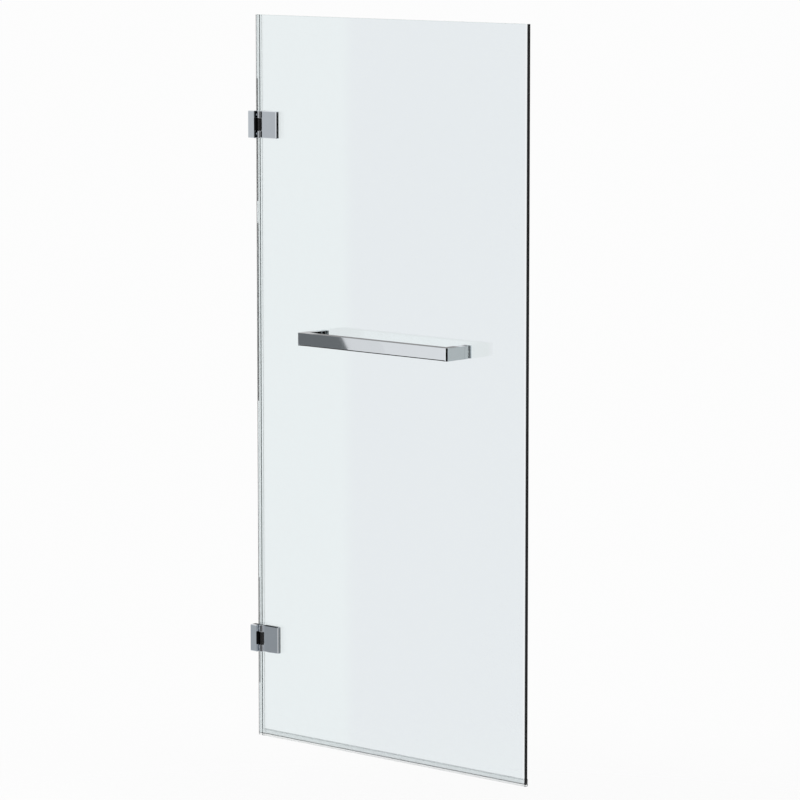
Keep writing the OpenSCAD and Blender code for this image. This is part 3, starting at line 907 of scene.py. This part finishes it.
def make_world():
    """White background, with a plainer light for what it falls on"""
    world = bpy.data.worlds.new("studio")
    bpy.context.scene.world = world
    world.use_nodes = True
    nodes, links = world.node_tree.nodes, world.node_tree.links
    nodes.clear()
    white = nodes.new("ShaderNodeBackground")
    white.inputs["Color"].default_value = (*grey(BACKGROUND_WHITE), 1)
    white.inputs["Strength"].default_value = 1
    plain = nodes.new("ShaderNodeBackground")
    plain.inputs["Color"].default_value = (1, 1, 1, 1)
    plain.inputs["Strength"].default_value = WORLD_LIGHT
    mix_on_surface(nodes, links, seen_directly(nodes, links), plain, white, "ShaderNodeOutputWorld")


def floor_material():
    """Pale matte floor with a glow of its own, which fades away round the object"""
    material, nodes, links = bare_material("pale_floor")
    matte = nodes.new("ShaderNodeBsdfDiffuse")
    matte.inputs["Color"].default_value = (*grey(FLOOR_TONE), 1)
    glow = nodes.new("ShaderNodeEmission")
    glow.inputs["Color"].default_value = (*grey(FLOOR_GLOW), 1)
    links.new(seen_directly(nodes, links), glow.inputs["Strength"])
    both = nodes.new("ShaderNodeAddShader")
    links.new(matte.outputs[0], both.inputs[0])
    links.new(glow.outputs[0], both.inputs[1])
    coords = nodes.new("ShaderNodeTexCoord")
    reach = nodes.new("ShaderNodeVectorMath")
    reach.operation = "LENGTH"
    links.new(coords.outputs["Object"], reach.inputs[0])
    fade = soft_step(nodes, links, reach.outputs["Value"], FLOOR_FULL, FLOOR_GONE)
    mix_on_surface(nodes, links, fade, both, nodes.new("ShaderNodeBsdfTransparent"))
    return material


def make_floor():
    """Round pale floor that keeps the object's shadow and fades into the white around it"""
    nothing_selected()
    bpy.ops.mesh.primitive_circle_add(vertices=96, radius=FLOOR_GONE, fill_type="NGON",
                                      location=FLOOR_MIDDLE)
    floor = bpy.context.active_object
    floor.name = "floor"
    floor.data.materials.append(floor_material())


# Numbers of reflections that tell none from one, and one from two
ONE_OR_MORE, TWO_OR_MORE = 0.5, 1.5


def level_of_reflection(nodes, links, path, level, later):
    """Colour of a card: one level for a first reflection, and another for what is reflected twice"""
    again = compute(nodes, links, "GREATER_THAN", path["Glossy Depth"], TWO_OR_MORE)
    return mix_colours(nodes, links, again, level, later)


def glass_alone(nodes, links, path):
    """One for what glass reflects straight to the camera, and not for what metal then reflects"""
    first = compute(nodes, links, "LESS_THAN", path["Glossy Depth"], TWO_OR_MORE)
    return compute(nodes, links, "MULTIPLY", path["Is Singular Ray"], first)


def behind_glass(nodes, links, path):
    """One for what metal reflects, also through the sheet, and not for what the sheet's face reflects"""
    outside = compute(nodes, links, "LESS_THAN", path["Transmission Depth"], ONE_OR_MORE)
    plain = compute(nodes, links, "MULTIPLY", outside, path["Is Singular Ray"])
    reflected = compute(nodes, links, "GREATER_THAN", path["Glossy Depth"], ONE_OR_MORE)
    seen = compute(nodes, links, "SUBTRACT", reflected, plain)
    seen.node.use_clamp = True
    return seen


def card_material(name, level, later, through_glass):
    """Glowing card that metal reflects: the camera, and sheet glass on its own, look through it"""
    material, nodes, links = bare_material(name)
    path = nodes.new("ShaderNodeLightPath").outputs
    glow = nodes.new("ShaderNodeEmission")
    clear = nodes.new("ShaderNodeBsdfTransparent")
    colour = level_of_reflection(nodes, links, path, level, later) if later else level
    feed(links, colour, glow.inputs["Color"])
    if through_glass:
        mix_on_surface(nodes, links, behind_glass(nodes, links, path), clear, glow)
    else:
        unseen = glass_alone(nodes, links, path) if later else path["Is Singular Ray"]
        mix_on_surface(nodes, links, unseen, glow, clear)
    return material


def finish_card(card, level, later, through_glass):
    """Makes a sheet a card of the studio"""
    card.data.materials.append(card_material(card.name, level, later, through_glass))
    card.visible_camera = False
    card.visible_diffuse = False
    card.visible_transmission = through_glass
    card.visible_shadow = False


ARC_MIDDLE = (0.03, 0)


def add_arc_card(name, turns, heights, level, later=None, through_glass=False, radius=4.0):
    """Curved card round the hinges between two turns, in degrees from -Y towards +X, and two heights"""
    nothing_selected()
    place = (*ARC_MIDDLE, (heights[0] + heights[1]) / 2)
    bpy.ops.mesh.primitive_cylinder_add(vertices=180, radius=radius, depth=heights[1] - heights[0],
                                        end_fill_type="NOTHING", location=place)
    card = bpy.context.active_object
    card.name = name
    bpy.ops.object.transform_apply(location=True, rotation=False, scale=False)
    middle = (turns[0] + turns[1]) / 2
    half = (turns[1] - turns[0]) / 2

    def outside(centre, normal):
        """Test that picks the faces beyond both turns"""
        turn = math.degrees(math.atan2(centre.x - ARC_MIDDLE[0], ARC_MIDDLE[1] - centre.y))
        return abs((turn - middle + 180) % 360 - 180) > half

    pick_faces(card, outside)
    bpy.ops.mesh.delete(type="FACE")
    leave_edit_mode()
    finish_card(card, level, later, through_glass)


def add_flat_card(name, corners, level, later=None, through_glass=False):
    """Flat card with four given corners"""
    nothing_selected()
    bpy.ops.mesh.primitive_plane_add(size=2)
    card = bpy.context.active_object
    card.name = name
    order = {(-1, -1): 0, (1, -1): 1, (1, 1): 2, (-1, 1): 3}
    for vertex in card.data.vertices:
        vertex.co = corners[order[(round(vertex.co.x), round(vertex.co.y))]]
    finish_card(card, level, later, through_glass)
    return card


def add_level_card(name, xs, ys, z, level, through_glass=False):
    """Level card at one height"""
    corners = [(xs[0], ys[0], z), (xs[1], ys[0], z), (xs[1], ys[1], z), (xs[0], ys[1], z)]
    return add_flat_card(name, corners, level, None, through_glass)


def add_upright_card(name, xs, zs, y, level, later=None, through_glass=False):
    """Upright card along the closed door"""
    corners = [(xs[0], y, zs[0]), (xs[1], y, zs[0]), (xs[1], y, zs[1]), (xs[0], y, zs[1])]
    return add_flat_card(name, corners, level, later, through_glass)


# Tone of the flags that draw the black lines in the chrome
BLACK = grey(0.004)

# Heights of the curved cards that the upper hinge, the bar and the lower hinge reflect
UPPER_BAND = (0.55, 1.2)
BAR_BAND = (0.05, 0.30)
LOWER_BAND = (-0.70, -0.40)

# Curved cards of each hinge: two turns, the level that is reflected once, and the one reflected twice
UPPER_CARDS = [
    ((-75, -36), (0.607, 0.624, 0.640), grey(0)),
    ((-36, -25), grey(0.005), grey(0)),
    ((-25, -8), grey(0.6), grey(0.25)),
    ((-8, 25), grey(0.6), grey(0)),
    ((25, 44.9), grey(0.01), grey(0)),
    ((44.9, 47.9), grey(0.979), grey(0)),
    ((47.9, 65), grey(0.02), grey(0)),
    ((65, 100), grey(0.33), grey(0)),
]
LOWER_CARDS = [
    ((-75, -38), (0.353, 0.375, 0.39), grey(0.45)),
    ((-38, 5), grey(0.09), grey(0.45)),
    ((5, 44.5), grey(0.1), grey(0.7)),
    ((44.5, 48.5), grey(0.75), grey(0.7)),
    ((48.5, 55), grey(0.1), grey(0.7)),
    ((55, 85), grey(0.314), grey(0.7)),
    ((85, 125), grey(0.22), grey(0.45)),
    ((125, 160), grey(0.26), grey(0.45)),
]
LOWER_RADIUS = 3.0

# Cards that start beyond this turn lie behind the glass
BEHIND_GLASS = 80


def make_hinge_cards():
    """Cards that draw the upright bands in the hinges"""
    for number, (turns, level, later) in enumerate(UPPER_CARDS):
        add_arc_card(f"upper_card_{number}", turns, UPPER_BAND, level, later)
    add_arc_card("upper_back_flag", (100, 152), (0.58, 0.95), grey(0.003), None, True)
    for number, (turns, level, later) in enumerate(LOWER_CARDS):
        behind = turns[0] > BEHIND_GLASS
        add_arc_card(f"lower_card_{number}", turns, LOWER_BAND, level, later, behind, LOWER_RADIUS)
    xs, y = (-0.26, -0.187), -0.22
    add_upright_card("upper_bracket_card", xs, (0.98, 1.12), y, (0.69, 0.71, 0.72), grey(0))
    add_upright_card("lower_bracket_card", xs, (-0.14, 0.02), y, (0.47, 0.50, 0.52), grey(0.3))
    add_level_card("lower_plate_flag", (-0.012, 0.08), (-0.15, 0.03), 0.07, BLACK)
    add_level_card("lower_top_flag", (-0.06, 0.08), (0.0165, 0.08), 0.034, grey(0.15), True)


# Cards of the bar's front: the line between them draws the slanted end of the bar's dark part
SLANT_Y = -1.0
SLANT_BOTTOM, SLANT_TOP = (-0.5248, 0.40), (-0.6278, 0.60)
LEFT_END = -0.95
MIDDLE_WIDE = 0.12
BAR_DARK = (0.185, 0.195, 0.200)

# Height of the small level cards above the bar, which draw its upper edge lines
NEAR_CARD_LIFT = 4 * MM

# Distance of the cards that the bar's posts reflect through the glass, and their heights
POST_CARD_Y = 2.17
POST_BAND = (0.1, 0.6)


def add_slanted_card(name, bottom_xs, top_xs, level):
    """Upright card in front of the bar with slanted sides"""
    bottom, top = SLANT_BOTTOM[1], SLANT_TOP[1]
    corners = [(bottom_xs[0], SLANT_Y, bottom), (bottom_xs[1], SLANT_Y, bottom),
               (top_xs[1], SLANT_Y, top), (top_xs[0], SLANT_Y, top)]
    add_flat_card(name, corners, level)


def make_bar_cards():
    """Cards that draw the dark left part, the dark edges and the grey end of the towel bar"""
    add_arc_card("bar_front_flag", (-12, 125), BAR_BAND, BLACK)
    add_arc_card("bar_corner_card", (-31, -12), BAR_BAND, grey(1.6))
    add_arc_card("bar_side_card", (-140, -50), BAR_BAND, BAR_DARK)
    low, high = SLANT_BOTTOM[0], SLANT_TOP[0]
    add_slanted_card("bar_left_flag", (LEFT_END, low), (LEFT_END, high), BAR_DARK)
    add_slanted_card("bar_middle_card", (low, low + MIDDLE_WIDE), (high, high + MIDDLE_WIDE), grey(0.92))
    add_level_card("bar_top_flag", (-0.02, 0.62), (-0.25, -0.060), 0.70, BLACK)
    for name, xs, level in (("bar_near_card", (0.10, 0.20), 0.63), ("bar_near_flag", (0.20, 0.60), 0.33)):
        add_level_card(name, xs, (-0.036, 0.008), BAR_HIGH.z + NEAR_CARD_LIFT, grey(level))
    add_level_card("bar_bottom_flag", (0.1, 0.62), (-0.16, 0.03), 0.60, BLACK)


def make_post_cards():
    """Cards behind the glass that draw the bands in the bar's posts and bases"""
    post_cards = [
        ("left_post_flag", (1.8, 2.40), POST_BAND, POST_CARD_Y, BLACK),
        ("right_post_card", (2.40, 3.2), POST_BAND, POST_CARD_Y, (0.670, 0.675, 0.662)),
        ("back_plate_card", (0.598, 0.6172), (0.60, 0.68), 0.05, grey(1.15)),
        ("back_plate_flag", (0.6172, 0.6225), (0.60, 0.68), 0.05, grey(0.25)),
        ("gap_card", (0.569, 0.5875), (0.629, 0.658), 0.012, grey(0.27)),
    ]
    for name, xs, zs, y, level in post_cards:
        add_upright_card(name, xs, zs, y, level, None, True)


def show_to_glass(card, fade=1):
    """Lets glass alone reflect a card, which can fade away over its width"""
    nodes, links = card.data.materials[0].node_tree.nodes, card.data.materials[0].node_tree.links
    path = next(node for node in nodes if node.type == "LIGHT_PATH")
    mix = next(node for node in nodes if node.type == "MIX_SHADER")
    shown = compute(nodes, links, "MULTIPLY", path.outputs["Is Singular Ray"], fade)
    links.new(compute(nodes, links, "SUBTRACT", 1, shown), mix.inputs[0])


# Card that the whole sheet reflects, with the place where its soft left end is over
GLASS_CARD_XS, GLASS_CARD_FULL = (-1.84, -1.1), -1.77
GLASS_CARD_Y = -2.2
GLASS_CARD_TONE = (0.52, 0.27, 0.52)

# Strip that the cut edge reflects, measured from the back right edge of the glass
EDGE_FLAG_XS, EDGE_FLAG_Y = (5 * MM, 30 * MM), 14 * MM


def make_glass_cards():
    """Grey card that the glass alone reflects, and a dark strip behind its right edge"""
    card = add_upright_card("glass_card", GLASS_CARD_XS, (-1.0, 1.4), GLASS_CARD_Y, GLASS_CARD_TONE)
    nodes, links = card.data.materials[0].node_tree.nodes, card.data.materials[0].node_tree.links
    coords = nodes.new("ShaderNodeTexCoord")
    split = nodes.new("ShaderNodeSeparateXYZ")
    links.new(coords.outputs["Object"], split.inputs[0])
    show_to_glass(card, soft_step(nodes, links, split.outputs["X"], GLASS_CARD_XS[0], GLASS_CARD_FULL))
    xs = [GLASS_HIGH.x + x for x in EDGE_FLAG_XS]
    show_to_glass(add_upright_card("edge_flag", xs, (-0.4, 1.4), GLASS_HIGH.y + EDGE_FLAG_Y, grey(0.33)))


LAMP_TARGET = (0.37, 0, 0.5)


def make_lamp(name, place, size, watts):
    """Soft square lamp aimed at the middle of the door"""
    lamp = bpy.data.lights.new(name, "AREA")
    lamp.shape = "SQUARE"
    lamp.size = size
    lamp.energy = watts
    holder = bpy.data.objects.new(name, lamp)
    bpy.context.scene.collection.objects.link(holder)
    holder.location = place
    holder.rotation_euler = (Vector(LAMP_TARGET) - Vector(place)).to_track_quat("-Z", "Y").to_euler()
    holder.visible_glossy = False
    holder.visible_transmission = False


def make_lamps():
    """Key lamp at the upper left and a weaker fill at the right"""
    make_lamp("key", (-2.2, -3.2, 3.6), 2.2, 110)
    make_lamp("fill", (3.4, -2.6, 2.2), 2.6, 60)


# Camera, with its angles in degrees
CAMERA_PLACE = (5.9552, -6.0689, 1.6110)
CAMERA_DOWN, CAMERA_TURN = 7.4660, 42.4084
CAMERA_LENS = 186.45


def make_camera():
    """Camera at the photograph's viewing angle"""
    camera = bpy.data.cameras.new("camera")
    camera.sensor_width = 36
    camera.lens = CAMERA_LENS
    camera.clip_end = 200
    holder = bpy.data.objects.new("camera", camera)
    bpy.context.scene.collection.objects.link(holder)
    holder.location = CAMERA_PLACE
    holder.rotation_euler = (math.radians(90 - CAMERA_DOWN), 0, math.radians(CAMERA_TURN))
    bpy.context.scene.camera = holder


def main():
    """Builds the pieces, the finishes and the studio"""
    materials = make_materials()
    dress_nodes(materials)
    build_hinges(materials)
    build_door_fittings(materials)
    make_world()
    make_floor()
    make_hinge_cards()
    make_bar_cards()
    make_post_cards()
    make_glass_cards()
    make_lamps()
    make_camera()
    bpy.context.scene.view_settings.view_transform = "Standard"


main()
